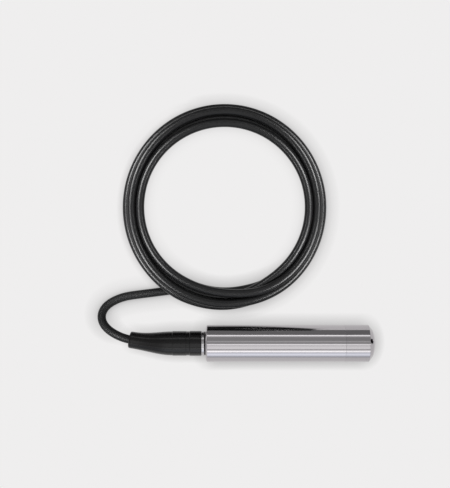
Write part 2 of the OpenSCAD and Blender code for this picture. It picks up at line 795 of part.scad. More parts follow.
// Bend relief: rubber moulding with two bands, pushed over the spigot, and a taper that follows the cable
module bend_relief() {
    shares = [for (i = [0:boot_rows]) i / boot_rows];
    line = [for (u = shares) boot_line(u)];
    color("#1b1715") {
        turned(concat(
            [[taper_start, pass_r], [taper_start, boot_taper_d / 2 + fit],
             [taper_start + boot_edge / 2, boot_grip_d / 2], [groove_rear - boot_edge / 2, boot_grip_d / 2],
             [groove_rear, boot_r - boot_groove_depth], [groove_front, boot_r - boot_groove_depth],
             [groove_front + boot_edge, boot_r], [boot_front - boot_edge, boot_r],
             [boot_front, boot_r - boot_edge], [boot_front, spigot_r + fit]],
            [for (i = [3 * barb_count:-1:0]) spigot_line(fit)[i]],
            [[spigot_rear - fit, spigot_r + fit], [spigot_rear - fit, pass_r]]));
        tube(line, [for (u = shares) boot_radius(u)], [for (u = shares) pass_r + fit], boot_sides);
    }
}

// Cable from the end of its jacket in the housing to the coil
module cable_lead() {
    mouth = boot_line(1);
    inner = [for (s = [jacket_end, 0, spigot_rear]) [rear_x + s, 0, axis_z]];
    bent = [for (i = [0:5]) boot_line(i / 6)];
    free = smooth([for (p = lead_route)
        [mouth[0] + p[0], mouth[1] + p[1], cable_r + p[2] * (axis_z - cable_r)]], lead_steps);
    color("#2c2c2e") bar(concat(inner, bent, free), cable_r, lead_sides);
}

// Coiled cable as one solid: its turns in their places, filled between them
module cable_coil() {
    centres = [for (slot = turn_slots) [slot_r(slot), slot_z(slot)]];
    color("#2c2c2e") {
        difference() {
            turn_arc(0, 360) intersection() {
                union() {
                    for (c = centres) translate(c) circle(cable_r + turn_swell);
                    polygon([for (i = [0, 1, 2]) centres[i]]);
                    polygon([for (i = [2, 4, 6, 5, 3]) centres[i]]);
                }
                square([2 * coil_r, coil_r]);
            }
            turn_arc(free_angle - shrink_on_jacket, lane_to) translate([free_r, shrink_r]) circle(lane_r);
        }
        turn_arc(free_angle - shrink_on_jacket - 1, free_angle) translate([free_r, shrink_r]) circle(cable_r);
    }
}

// Shrink sleeve over the cut end of the jacket
module shrink_sleeve() {
    color("black") turn_arc(free_angle - shrink_on_jacket, tail_start) translate([free_r, shrink_r])
        difference() {
            circle(shrink_r);
            circle(cable_r);
        }
}

// Way of a stripped wire from its place in the cable down to the surface and on to its ferrule
function tail_path(lane) =
    let (core = core_at[lane + 1], r = free_r + core[0], z = shrink_r + core[1],
         r_end = free_r + lane * tail_pitch, from = on_coil(free_angle, r, z),
         settled = tail_start + tail_settle, step = (tail_end - settled) / 5)
    smooth(concat(
        [from, from + wire_straight * [-sin(free_angle), cos(free_angle), 0],
         on_coil(tail_start + tail_settle / 2, (r + r_end) / 2, (z + ferrule_z) / 2)],
        [for (i = [0:5]) on_coil(settled + i * step, r_end, ferrule_z)]), 2);

// Way of the capillary at the free end, straight out of the jacket
function end_capillary_path() =
    let (from = on_coil(free_angle, free_r + capillary_at[0], shrink_r + capillary_at[1]))
    smooth([from, from + wire_straight * [-sin(free_angle), cos(free_angle), 0],
            on_coil(free_angle + filter_angle, free_r, shrink_r + capillary_at[1])], 2);

// Stripped conductors at the free end
module end_conductors() {
    color("firebrick") for (side = [-1, 1]) bar(tail_path(side), conductor_d / 2, wire_sides);
}

// Drain wire at the free end
module end_drain_wire() {
    color("darkgray") bar(tail_path(0), drain_d / 2, wire_sides);
}

// Ferrules on the stripped wires: a collar and a crimped metal tube each
module end_ferrules() {
    color("steelblue") for (lane = [-1:1]) at_path_end(tail_path(lane)) {
        cylinder(d = ferrule_collar_d, h = ferrule_collar_len);
        cylinder(d = ferrule_tube_d, h = ferrule_collar_len + ferrule_tube_len);
    }
}

// Vent capillary at the free end
module end_capillary() {
    color("white") capillary(end_capillary_path());
}

// Filter on the end of that capillary
module end_filter() {
    color("whitesmoke") at_path_end(end_capillary_path()) cylinder(d = filter_d, h = filter_len);
}

housing();
nose_cap();
sensor_carrier();
carrier_o_ring();
sensor_capsule();
capsule_o_ring();
isolating_diaphragm();
weld_ring();
sensing_chip();
header_pins();
reference_tube();
retaining_ring();
header_board();
amplifier_board();
board_chips();
surge_arresters();
board_capacitors();
terminal_block();
terminal_screws();
insulating_sleeve();
gland_screw();
gland_o_ring();
thrust_washer();
cable_seal();
crimp_sleeve();
inner_conductors();
inner_drain_wire();
vent_capillary();
capillary_filter();
bend_relief();
cable_lead();
cable_coil();
shrink_sleeve();
end_conductors();
end_drain_wire();
end_ferrules();
end_capillary();
end_filter();
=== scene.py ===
import math
import bmesh
import bpy
import numpy as np
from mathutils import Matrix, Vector


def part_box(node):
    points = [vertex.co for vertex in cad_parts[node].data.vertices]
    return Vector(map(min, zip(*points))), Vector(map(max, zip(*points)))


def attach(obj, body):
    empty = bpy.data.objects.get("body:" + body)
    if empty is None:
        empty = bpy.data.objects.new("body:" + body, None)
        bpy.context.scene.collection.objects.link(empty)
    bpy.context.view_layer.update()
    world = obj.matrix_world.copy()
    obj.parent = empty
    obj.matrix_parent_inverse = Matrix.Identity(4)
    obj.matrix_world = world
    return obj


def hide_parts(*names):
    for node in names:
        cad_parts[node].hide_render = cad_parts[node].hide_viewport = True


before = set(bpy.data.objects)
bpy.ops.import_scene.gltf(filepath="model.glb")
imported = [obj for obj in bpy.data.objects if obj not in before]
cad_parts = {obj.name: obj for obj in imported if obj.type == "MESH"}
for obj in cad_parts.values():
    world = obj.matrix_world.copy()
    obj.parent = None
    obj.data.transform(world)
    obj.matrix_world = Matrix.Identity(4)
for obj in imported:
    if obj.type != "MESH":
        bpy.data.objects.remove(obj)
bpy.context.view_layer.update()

# Lengths are millimetres until they become mesh points, which are metres. Places along the probe count
# from the housing's rear face towards the nose.
mm = 0.001
up = np.array([0.0, 0.0, 1.0])
housingLow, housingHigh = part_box("housing")
rearX = housingLow[0]
bodyR = (housingHigh[2] - housingLow[2]) / 2 / mm
axisZ = housingLow[2] / mm + bodyR
seam = (housingHigh[0] - rearX) / mm
tip = (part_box("nose_cap")[1][0] - rearX) / mm

# Housing and cap share the arc at their seam and their number of sides. A plain point this far beside an
# arc keeps the long side's shading straight.
seamArc = 0.07
steelSides = 192
besideArc = 0.5

# The camera looks straight down from above the middle between probe and coil
view = {"along": 13.9, "aside": 72.3, "height": 740, "angle": 24.95}
cameraData = bpy.data.cameras.new("camera")
cameraData.sensor_fit = "HORIZONTAL"
cameraData.angle = math.radians(view["angle"])
cameraData.clip_start = 0.01
camera = bpy.data.objects.new("camera", cameraData)
camera.location = (rearX + view["along"] * mm, view["aside"] * mm, (axisZ + view["height"]) * mm)
bpy.context.collection.objects.link(camera)
bpy.context.scene.camera = camera
bpy.context.scene.view_settings.view_transform = "Standard"
print("camera")


# Running length at each point of a path: the sum of the straight distances up to it
def runningLength(path):
    return np.append(0, np.cumsum(np.linalg.norm(np.diff(path, axis=0), axis=1)))


# A grid of points as a mesh. Rings run along the first index and close round the second. With loop the
# last ring meets the first, otherwise each end gets one flat face, and rings on the axis shrink to a
# point. The UV map counts metres along the piece and round it at its mean radius.
def ringMesh(name, rings, loop=False, smoothAngle=32):
    count, sides = rings.shape[:2]
    index = np.arange(count * sides).reshape(count, sides)
    here = index if loop else index[:-1]
    after = np.roll(index, -1, axis=0) if loop else index[1:]
    quads = np.stack([here, after, np.roll(after, -1, axis=1), np.roll(here, -1, axis=1)], axis=-1)
    faces = quads.reshape(-1, 4).tolist()
    if not loop:
        faces += [index[0].tolist(), index[-1][::-1].tolist()]
    points = rings * mm + np.array([rearX, 0, 0])
    mesh = bpy.data.meshes.new(name)
    mesh.from_pydata(points.reshape(-1, 3).tolist(), [], faces)
    along = runningLength(np.vstack([points[:, 0], points[:1, 0]]))
    meanR = np.linalg.norm(points - points.mean(axis=1, keepdims=True), axis=2).mean()
    turn = np.arange(sides + 1) * 2 * np.pi * meanR / sides
    start, end = along[:len(here)], along[1:len(here) + 1]
    corners = np.empty((len(here), sides, 4, 2))
    corners[..., 0] = np.stack([start, end, end, start], axis=1)[:, None]
    corners[..., 1] = np.stack([turn[:-1], turn[:-1], turn[1:], turn[1:]], axis=1)
    values = np.zeros((len(mesh.loops), 2))
    values[:corners.size // 2] = corners.reshape(-1, 2)
    mesh.uv_layers.new(name="metres").data.foreach_set("uv", values.ravel())
    work = bmesh.new()
    work.from_mesh(mesh)
    bmesh.ops.remove_doubles(work, verts=work.verts, dist=1e-8)
    work.to_mesh(mesh)
    work.free()
    mesh.polygons.foreach_set("use_smooth", np.ones(len(mesh.polygons), dtype=bool))
    mesh.set_sharp_from_angle(angle=math.radians(smoothAngle))
    piece = bpy.data.objects.new(name, mesh)
    bpy.context.collection.objects.link(piece)
    return piece


# Rounds the corners of a section. Each corner is (place, radius from the axis, radius of its arc), and
# an arc starts and ends where its circle touches the two sides. A plain point close to an arc keeps a
# long side's shading straight up to it.
def rounded(corners, steps=5):
    out = []
    for i, (place, radius, arc) in enumerate(corners):
        corner = np.array([place, radius], dtype=float)
        if arc == 0:
            out.append(corner)
            continue
        before = np.array(corners[i - 1][:2]) - corner
        after = np.array(corners[(i + 1) % len(corners)][:2]) - corner
        before, after = before / np.linalg.norm(before), after / np.linalg.norm(after)
        half = math.acos(np.clip(before @ after, -1, 1)) / 2
        middle = corner + (before + after) / np.linalg.norm(before + after) * arc / math.sin(half)
        first = corner + before * arc / math.tan(half) - middle
        last = corner + after * arc / math.tan(half) - middle
        turn = math.pi - 2 * half
        t = np.linspace(0, 1, steps)[:, None]
        out.extend(middle + (np.sin((1 - t) * turn) * first + np.sin(t * turn) * last) / math.sin(turn))
    return np.array(out)


# A piece turned round the probe's axis from its section of [place, radius], which runs towards the nose
# on the outside: each ring's points are its middle plus the radius times (sine of the angle sideways,
# cosine upwards). A bent piece gives the way aside and the slope of its middle line at each place, and
# its rings stand square to that line.
def turnedPiece(name, section, sides=128, loop=True, smoothAngle=32, bent=None):
    place, radius = section.T
    aside, slope = bent(place) if bent else (0 * place, 0 * place)
    across = np.stack([-slope, np.ones_like(slope), 0 * slope], axis=1) / np.hypot(1, slope)[:, None]
    middle = np.stack([place, aside, np.full_like(place, axisZ)], axis=1)
    angle = np.linspace(0, 2 * np.pi, sides, endpoint=False)[None, :, None]
    spoke = np.sin(angle) * across[:, None] + np.cos(angle) * up
    return ringMesh(name, middle[:, None] + radius[:, None, None] * spoke, loop, smoothAngle)


# A round tube along a path: each ring's points are the path's point plus the radius times (cosine of
# the angle sideways, sine upwards), where sideways is level and both are square to the path
def sweptTube(name, path, radius, sides):
    ahead = np.gradient(path, axis=0)
    sideways = np.cross(ahead, up)
    sideways /= np.linalg.norm(sideways, axis=1, keepdims=True)
    upwards = np.cross(sideways, ahead)
    upwards /= np.linalg.norm(upwards, axis=1, keepdims=True)
    angle = np.linspace(0, 2 * np.pi, sides, endpoint=False)[None, :, None]
    spoke = np.cos(angle) * sideways[:, None] + np.sin(angle) * upwards[:, None]
    return ringMesh(name, path[:, None] + radius * spoke)


# Points at even distances along a path, by its running length
def evenly(path, step):
    along = runningLength(path)
    marks = np.linspace(0, along[-1], int(along[-1] / step) + 1)
    return np.stack([np.interp(marks, along, path[:, i]) for i in range(3)], axis=1)


# Each point moves towards the middle between its neighbours by a share of the way, a few times over
def smoothed(path, share, times):
    path = path.copy()
    for turn in range(times):
        path[1:-1] += share * (path[:-2] + path[2:] - 2 * path[1:-1])
    return path


# Uniform cubic B-spline whose first and last points count three times. The weights of four points are
# (1-t)^3, 3t^3-6t^2+4, -3t^3+3t^2+3t+1 and t^3, all over 6.
def smoothCurve(points, steps):
    p = np.vstack([points[:1], points[:1], points, points[-1:], points[-1:]]).astype(float)
    t = (np.arange(steps) / steps)[:, None]
    weights = [(1 - t) ** 3, 3 * t ** 3 - 6 * t ** 2 + 4, -3 * t ** 3 + 3 * t ** 2 + 3 * t + 1, t ** 3]
    parts = [sum(w * p[i + k] for k, w in enumerate(weights)) / 6 for i in range(len(p) - 3)]
    return np.vstack(parts + [p[-1:]])


# A soft step from 0 to 1 between two places: 3t^2 - 2t^3 of the share of the way
def softStep(x, start, end):
    t = np.clip((x - start) / (end - start), 0, 1)
    return t * t * (3 - 2 * t)


# A new material with its Principled shader set to plain values
def newMaterial(name, color, roughness, metallic, specular):
    material = bpy.data.materials.new(name)
    material.use_nodes = True
    shader = material.node_tree.nodes["Principled BSDF"]
    shader.inputs["Base Color"].default_value = (*color, 1)
    shader.inputs["Roughness"].default_value = roughness
    shader.inputs["Metallic"].default_value = metallic
    shader.inputs["Specular IOR Level"].default_value = specular
    return material, material.node_tree.nodes, material.node_tree.links, shader


# Spreads a value from the range between the first two numbers to the one between the last two
def addSpread(nodes, links, value, fromLow, fromHigh, low=0, high=1):
    spread = nodes.new("ShaderNodeMapRange")
    for socket, number in (("From Min", fromLow), ("From Max", fromHigh), ("To Min", low), ("To Max", high)):
        spread.inputs[socket].default_value = number
    links.new(value, spread.inputs["Value"])
    return spread.outputs["Result"]


# Noise on the object's coordinates, stretched by a scale per axis. It lies mostly between 0.3 and 0.7,
# which is spread between two values.
def addNoise(nodes, links, scale, low, high):
    place = nodes.new("ShaderNodeTexCoord")
    mapping = nodes.new("ShaderNodeMapping")
    mapping.inputs["Scale"].default_value = scale
    noise = nodes.new("ShaderNodeTexNoise")
    noise.inputs["Scale"].default_value = 1.0
    noise.inputs["Detail"].default_value = 3.0
    links.new(place.outputs["Object"], mapping.inputs["Vector"])
    links.new(mapping.outputs["Vector"], noise.inputs["Vector"])
    return addSpread(nodes, links, noise.outputs["Fac"], 0.3, 0.7, low, high)


# Lets a value between 0 and 1 lift the surface by up to a height in metres
def addBump(nodes, links, shader, value, height):
    bump = nodes.new("ShaderNodeBump")
    bump.inputs["Distance"].default_value = height
    bump.inputs["Strength"].default_value = 1.0
    links.new(value, bump.inputs["Height"])
    links.new(bump.outputs["Normal"], shader.inputs["Normal"])


# Bare metal: noise stretched along the tool's marks sets the roughness and a very shallow grain
def bareMetal(name, color, roughness, scale, height):
    material, nodes, links, shader = newMaterial(name, color, roughness, 1.0, 0.5)
    links.new(addNoise(nodes, links, scale, roughness * 0.8, roughness * 1.25), shader.inputs["Roughness"])
    addBump(nodes, links, shader, addNoise(nodes, links, scale, 0, 1), height)
    return material


# Rubber, plastic or ceramic: the colour goes between a darker and a lighter tone in soft patches, and
# fine noise gives the surface its grain
def mouldedSurface(name, color, roughness, specular, grain, height):
    material, nodes, links, shader = newMaterial(name, color, roughness, 0.0, specular)
    tone = nodes.new("ShaderNodeMix")
    tone.data_type = "RGBA"
    tone.inputs["A"].default_value = (*[0.85 * c for c in color], 1)
    tone.inputs["B"].default_value = (*[1.15 * c for c in color], 1)
    links.new(addNoise(nodes, links, (45, 45, 45), 0, 1), tone.inputs["Factor"])
    links.new(tone.outputs["Result"], shader.inputs["Base Color"])
    addBump(nodes, links, shader, addNoise(nodes, links, (grain, grain, grain), 0, 1), height)
    return material


# Gives a piece its material, hides the nodes that it stands for and fixes it to the body. The slot name is
# not used.
def dress(piece, material, slotName, *nodeNames):
    piece.data.materials.clear()
    piece.data.materials.append(material)
    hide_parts(*nodeNames)
    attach(piece, "root")


# Bend relief: two bands beside the collar, then a taper that the cable pulls aside
boot = {
    "front": -3.3, "bandLength": 8.6, "grooveWidth": 2.2, "grooveDepth": 0.35, "bandR": 9.1, "gripR": 8.95,
    "start": -24.3, "length": 31.5, "bend": 2.8, "taperR": 8.7, "tipR": 6.1, "ease": 1.3, "lip": 1.4,
    "boreR": 3.4, "gripEdge": 0.25, "bandEdge": 0.4, "tipRings": 10, "taperRings": 50, "boreRings": 40,
    "sides": 96,
}
spigot = {
    "rear": -21.2, "r": 6.0, "barbs": 3, "barbStart": 1.0, "barbPitch": 4.0, "barbHeight": 0.5, "gap": 0.05,
}


# The taper's middle line goes aside by the bend times the square of its share u of the length, so its
# slope is minus twice the bend times u over the length
def bootLine(place):
    share = np.clip((boot["start"] - place) / boot["length"], 0, None)
    return boot["bend"] * share ** 2, -2 * boot["bend"] * share / boot["length"]


# Radius of the taper at a share of its length: it narrows as ((1 + cos 180 u) / 2) to a power, and its
# last stretch rounds off like a quarter of a circle
def taperRadius(share):
    narrowing = ((1 + np.cos(np.pi * share)) / 2) ** boot["ease"]
    lip = np.clip(1 - (1 - share) * boot["length"] / boot["lip"], 0, 1)
    return (boot["tipR"] + (boot["taperR"] - boot["tipR"]) * narrowing
            - (boot["tipR"] - boot["boreR"]) / 2 * (1 - np.sqrt(1 - lip ** 2)))


# The barbed spigot from its rear to the collar, as corners for rounded, grown by a gap
def spigotLine(gap):
    line = [(spigot["rear"] - gap, spigot["r"] + gap, 0)]
    for i in range(spigot["barbs"]):
        foot = spigot["rear"] + spigot["barbStart"] + i * spigot["barbPitch"]
        top = foot + spigot["barbPitch"] / 2
        line += [(foot, spigot["r"] + gap, 0), (top, spigot["r"] + spigot["barbHeight"] + gap, 0)]
        line += [(top, spigot["r"] + gap, 0)]
    return line + [(boot["front"], spigot["r"] + gap, 0)]


# The boot's section: the taper from its tip, the two bands up to the collar, then back through the
# socket, which is the spigot's line grown by the gap, and the cable's bore. The tip's shares of the
# length follow 1 - lip (1 - sin), so that its points lie evenly round the quarter circle.
def buildBoot():
    lipShare = boot["lip"] / boot["length"]
    share = np.append(1 - lipShare * (1 - np.sin(np.linspace(1, 0.1, boot["tipRings"]) * np.pi / 2)),
                      np.linspace(1 - lipShare, 0, boot["taperRings"]))
    taper = np.stack([boot["start"] - share * boot["length"], taperRadius(share)], axis=1)
    grooveFront = boot["front"] - boot["bandLength"]
    grooveRear = grooveFront - boot["grooveWidth"]
    grooveR = boot["bandR"] - boot["grooveDepth"]
    bands = rounded([
        (boot["start"], boot["taperR"], 0), (boot["start"] + boot["gripEdge"], boot["gripR"], 0.3),
        (grooveRear - boot["gripEdge"], boot["gripR"], 0.3), (grooveRear, grooveR, 0.2),
        (grooveFront, grooveR, 0.2), (grooveFront + boot["bandEdge"], boot["bandR"], 0.5),
        (boot["front"], boot["bandR"], 0.45), (boot["front"], spigot["r"] + spigot["gap"], 0)])
    socket = rounded(spigotLine(spigot["gap"]))[::-1]
    bore = np.linspace(spigot["rear"] - spigot["gap"], boot["start"] - boot["length"], boot["boreRings"])
    bore = np.stack([bore, np.full_like(bore, boot["boreR"])], axis=1)
    section = np.vstack([taper, bands[1:-1], socket, bore])
    return turnedPiece("bend_relief_boot", section, sides=boot["sides"], bent=bootLine)


bootPiece = buildBoot()
bootRubber = mouldedSurface("boot rubber", (0.004, 0.0033, 0.0036), 0.22, 0.34, 1500, 0.000004)
dress(bootPiece, bootRubber, "boot_rubber", "bend_relief")
print("bend relief")

# Cable: the route's points count from the mouth of the bend relief, each with the share of the axis's
# height. The coil's places are given as quarter diameters from its middle radius and as rows.
cable = {
    "d": 6.2, "coilR": 66.25, "joinAngle": 252.6, "endAngle": 104, "jacketEnd": 18.0, "length": 3.0,
    "route": np.array([
        [0, 0, 1], [-4, 1, 0.98], [-8, 2.5, 0.92], [-12, 4.5, 0.82], [-16, 7, 0.66],
        [-19.5, 10.5, 0.49], [-21.5, 15, 0.3], [-21, 19.5, 0.14], [-18.5, 23.5, 0.05], [-14.5, 26.5, 0],
        [-9.5, 29, 0], [-3.5, 31, 0], [4, 32, 0], [12, 33, 0], [20, 34, 0], [28, 35, 0],
        [36, 36, 0], [44, 36, 0], [50, 34.5, 0]]),
    "slots": [(-1, 0), (-3, 1), (-1, 2), (-3.3, 3), (0.6, 3), (3, 2), (1, 1), (3, 0)],
    # Angles, counted on from turn to turn, at which the cable starts to move to its next place
    "moves": [556, 624, 977, 1333, 1689, 2057, 2401], "moveAngle": 80,
    # How far these turns stand out at the ring's top and bottom
    "bulge": {2: 0.6, 3: -0.3, 4: 2.4, 5: 1.1},
    # The angle count at the cable's end has passed 360 this many times. The lead's last stretch and the
    # end's stretch on the surface, in degrees, and the end's height over the surface
    "endTurn": 7, "leadIn": 21.6, "endRun": 12, "endLift": 0.2,
    # The turns settle in passes: each takes a share of the push and, in the first part of the passes, a
    # share of the way back to its place, and is smoothed by a share
    "perTurn": 240, "passes": 400, "gap": 0.08, "pushShare": 0.9, "drawnPart": 0.8, "drawShare": 0.02,
    "settleShare": 0.2,
    # Points per stretch of the lead's route, step of the line in the probe, then the whole line's step, the
    # share and times of its smoothing, and the tube's sides
    "leadSteps": 10, "probeStep": 1.0, "step": 1.35, "smoothShare": 0.25, "smoothTimes": 6, "sides": 32,
    # Roughness on the coil and on the lead, and the distances from the coil's middle between which it
    # changes
    "coilRough": 0.3, "leadRough": 0.5, "dullFrom": 76, "dullTo": 86,
}
cableR = cable["d"] / 2
mouth = np.array([boot["start"] - boot["length"], boot["bend"]])
slotR = np.array([cable["coilR"] + quarter * cable["d"] / 4 for quarter, row in cable["slots"]])
slotZ = np.array([cableR + row * cable["d"] * math.sqrt(3) / 2 for quarter, row in cable["slots"]])
joinAt = math.radians(cable["joinAngle"])
coilCentre = mouth + cable["route"][-1, :2] - slotR[0] * np.array([math.cos(joinAt), math.sin(joinAt)])


# Middle line of the stretch between the bend relief and the coil: a smooth curve along the route, whose
# points have the cable's radius plus their share of the axis's height above that
def leadLine():
    route = cable["route"]
    points = np.stack([mouth[0] + route[:, 0], mouth[1] + route[:, 1],
                       cableR + route[:, 2] * (axisZ - cableR)], axis=1)
    return smoothCurve(points, cable["leadSteps"])


# Pushes apart the turns that lie nearer than the room they need at the same angle: each of a pair moves
# along the line between them by a share of half of what is missing
def pushApart(r, z, room):
    moveR, moveZ = np.zeros_like(r), np.zeros_like(z)
    for apart in range(cable["perTurn"], len(r), cable["perTurn"]):
        dr, dz = r[apart:] - r[:-apart], z[apart:] - z[:-apart]
        distance = np.hypot(dr, dz)
        push = np.clip(room - distance, 0, None) / 2 / distance
        moveR[apart:] += push * dr
        moveR[:-apart] -= push * dr
        moveZ[apart:] += push * dz
        moveZ[:-apart] -= push * dz
    return r + cable["pushShare"] * moveR, z + cable["pushShare"] * moveZ


# The coil's middle line. Every turn keeps to its place, with soft steps from one place to the next, and
# is drawn back there a little in each pass, pushed clear of the other turns and smoothed. The lead's own
# last stretch takes part too, so that nothing lies in its way.
def coilLine(lead):
    leadAngle = np.degrees(np.unwrap(np.arctan2(lead[:, 1] - coilCentre[1], lead[:, 0] - coilCentre[0])))
    leadAngle += 360 * round((cable["joinAngle"] - leadAngle[-1]) / 360)
    leadR = np.hypot(lead[:, 0] - coilCentre[0], lead[:, 1] - coilCentre[1])
    first = cable["joinAngle"] - cable["leadIn"]
    near = leadAngle > first
    angle = np.arange(first, cable["endAngle"] + 360 * cable["endTurn"], 360 / cable["perTurn"])
    steps = [softStep(angle, start, start + cable["moveAngle"]) for start in cable["moves"]]
    homeR = slotR[0] + sum((slotR[i + 1] - slotR[i]) * step for i, step in enumerate(steps))
    homeZ = slotZ[0] + sum((slotZ[i + 1] - slotZ[i]) * step for i, step in enumerate(steps))
    for turn, amount in cable["bulge"].items():
        homeR += amount * (steps[turn - 1] - steps[turn]) * np.sin(np.radians(angle)) ** 2
    fromLead = angle < cable["joinAngle"]
    homeR[fromLead] = np.interp(angle[fromLead], leadAngle[near], leadR[near])
    atEnd = angle > angle[-1] - cable["endRun"]
    homeZ[atEnd] = cableR + cable["endLift"]
    held = fromLead | atEnd
    r, z = homeR.copy(), homeZ.copy()
    for turn in range(cable["passes"]):
        r, z = pushApart(r, z, cable["d"] + cable["gap"])
        if turn < cable["passes"] * cable["drawnPart"]:
            r, z = r + cable["drawShare"] * (homeR - r), z + cable["drawShare"] * (homeZ - z)
        r, z = smoothed(np.stack([r, z], axis=1), cable["settleShare"], 1).T
        r, z = np.where(held, homeR, r), np.where(held, homeZ, np.maximum(z, cableR))
    coil = angle > cable["joinAngle"]
    turnAngle, r, z = np.radians(angle[coil]), r[coil], z[coil]
    return np.stack([coilCentre[0] + r * np.cos(turnAngle), coilCentre[1] + r * np.sin(turnAngle), z], axis=1)


# The cable's middle line from its end in the housing through the boot and the lead to the coil's end, cut
# into even steps
def buildCable():
    inProbe = np.arange(cable["jacketEnd"], mouth[0] + cable["probeStep"] / 2, -cable["probeStep"])
    inProbe = np.stack([inProbe, bootLine(inProbe)[0], np.full_like(inProbe, axisZ)], axis=1)
    lead = leadLine()
    line = evenly(np.vstack([inProbe, lead, coilLine(lead)]), cable["step"])
    return smoothed(line, cable["smoothShare"], cable["smoothTimes"])


# A jacket as glossy as the coil's would give the lead a glint beside the bend relief that the photograph
# doesn't show. So the roughness goes from the coil's to the lead's with the distance from the coil's middle.
def dullOutside(material):
    nodes, links = material.node_tree.nodes, material.node_tree.links
    place = nodes.new("ShaderNodeTexCoord")
    away = nodes.new("ShaderNodeVectorMath")
    away.operation = "DISTANCE"
    away.inputs[1].default_value = (rearX + coilCentre[0] * mm, coilCentre[1] * mm, cable["d"] * mm)
    links.new(place.outputs["Object"], away.inputs[0])
    rough = addSpread(nodes, links, away.outputs["Value"], cable["dullFrom"] * mm, cable["dullTo"] * mm,
                      cable["coilRough"], cable["leadRough"])
    links.new(rough, nodes["Principled BSDF"].inputs["Roughness"])


cablePath = buildCable()
cablePiece = sweptTube("cable", cablePath, cableR, cable["sides"])
cableJacket = mouldedSurface("cable jacket", (0.004, 0.004, 0.0042), cable["coilRough"], 0.2, 400, 0.000001)
dullOutside(cableJacket)
dress(cablePiece, cableJacket, "cable_jacket", "cable_lead", "cable_coil")
print("cable", round(runningLength(cablePath)[-1] / 1000, 3), "m")

# Housing: the closed rear end with the gland's bore, and the plain tube up to the seam
housing = {"wall": 2.0, "chamfer": 1.0, "rearWall": 15, "coneStart": 11.2, "coneEnd": 12.8, "coneR": 4.2}
gland = {"threadR": 7.0, "shank": 6.0, "collarR": 9.0, "collarLength": 2.3, "collarGap": 1.0}
boreR = bodyR - housing["wall"]


# The housing's section: outside from the rear chamfer to the seam, then the big bore, the rear wall with
# the cable's bore, and a cone that opens to the gland's thread
def buildHousing():
    return turnedPiece("probe_housing", rounded([
        (0, gland["threadR"], 0.15), (0, bodyR - housing["chamfer"], 0.12),
        (housing["chamfer"], bodyR, 0.25), (housing["chamfer"] + besideArc, bodyR, 0),
        (seam - besideArc, bodyR, 0), (seam, bodyR, seamArc), (seam, boreR, 0),
        (housing["rearWall"], boreR, 0), (housing["rearWall"], boot["boreR"], 0),
        (housing["coneEnd"], boot["boreR"], 0), (housing["coneEnd"], housing["coneR"], 0),
        (housing["coneStart"], gland["threadR"], 0)]), sides=steelSides)


# The gland's section: the barbed spigot, the collar, whose front stands off the housing by the collar's
# gap, the shank, and the cable's bore right through
def buildGland():
    front = -gland["collarGap"]
    rear = front - gland["collarLength"]
    shankR = gland["threadR"] - spigot["gap"]
    return turnedPiece("gland_screw_turned", rounded(
        [(spigot["rear"], boot["boreR"], 0)] + spigotLine(0) + [
            (rear, gland["collarR"], 0.45), (front, gland["collarR"], 0.45), (front, shankR, 0),
            (gland["shank"], shankR, 0.2), (gland["shank"], boot["boreR"], 0)]))


barrelSteel = bareMetal("barrel steel", (0.465, 0.446, 0.461), 0.09, (12, 900, 900), 0.0000015)
turnedSteel = bareMetal("turned steel", (0.48, 0.47, 0.48), 0.2, (3000, 60, 60), 0.000001)
dress(buildHousing(), barrelSteel, "barrel_steel", "housing")
dress(buildGland(), turnedSteel, "gland_steel", "gland_screw")
print("housing and gland")

# Nose cap: a straight part, a chamfer and a domed end, with inlet holes square on the chamfer
cap = {
    "straight": 17.4, "chamferLength": 2.6, "chamferDepth": 3.1, "domeR": 22.0, "floor": 4.8,
    "chamberR": 8.5, "chamberEndR": 4.5, "chamberTaper": 2.5, "step": 9.8,
    "edgeArc": 0.3, "domeStart": 0.02, "domeAim": 5, "domeRings": 36, "sharpAngle": 28,
    "holeR": 1.75, "holes": 4, "holeTurn": 13, "holeEdge": 0.35, "holeDepth": 14, "holeFlare": 0.6,
    "holePast": 3, "holeSides": 48,
}
shoulder = seam + cap["straight"]


# The section starts and ends on the axis. The dome is an arc round a point on the axis. It begins a
# little past the chamfer's last arc, whose direction comes from a point in the tip's plane that is then
# left out.
def capSection():
    chamferEnd, chamferR = shoulder + cap["chamferLength"], bodyR - cap["chamferDepth"]
    chamberEnd = tip - cap["floor"]
    inner = rounded([
        (chamberEnd, 0, 0), (chamberEnd, cap["chamberEndR"], 0),
        (chamberEnd - cap["chamberTaper"], cap["chamberR"], 0), (seam + cap["step"], cap["chamberR"], 0),
        (seam + cap["step"], boreR, 0), (seam, boreR, 0), (seam, bodyR, seamArc),
        (seam + besideArc, bodyR, 0), (shoulder - besideArc, bodyR, 0), (shoulder, bodyR, cap["edgeArc"]),
        (chamferEnd, chamferR, cap["edgeArc"]), (tip, cap["domeAim"], 0)])[:-1]
    arc = np.linspace(math.asin(chamferR / cap["domeR"]) - cap["domeStart"], 0, cap["domeRings"])
    dome = np.stack([tip - cap["domeR"] + cap["domeR"] * np.cos(arc), cap["domeR"] * np.sin(arc)], axis=1)
    return np.vstack([inner, dome])


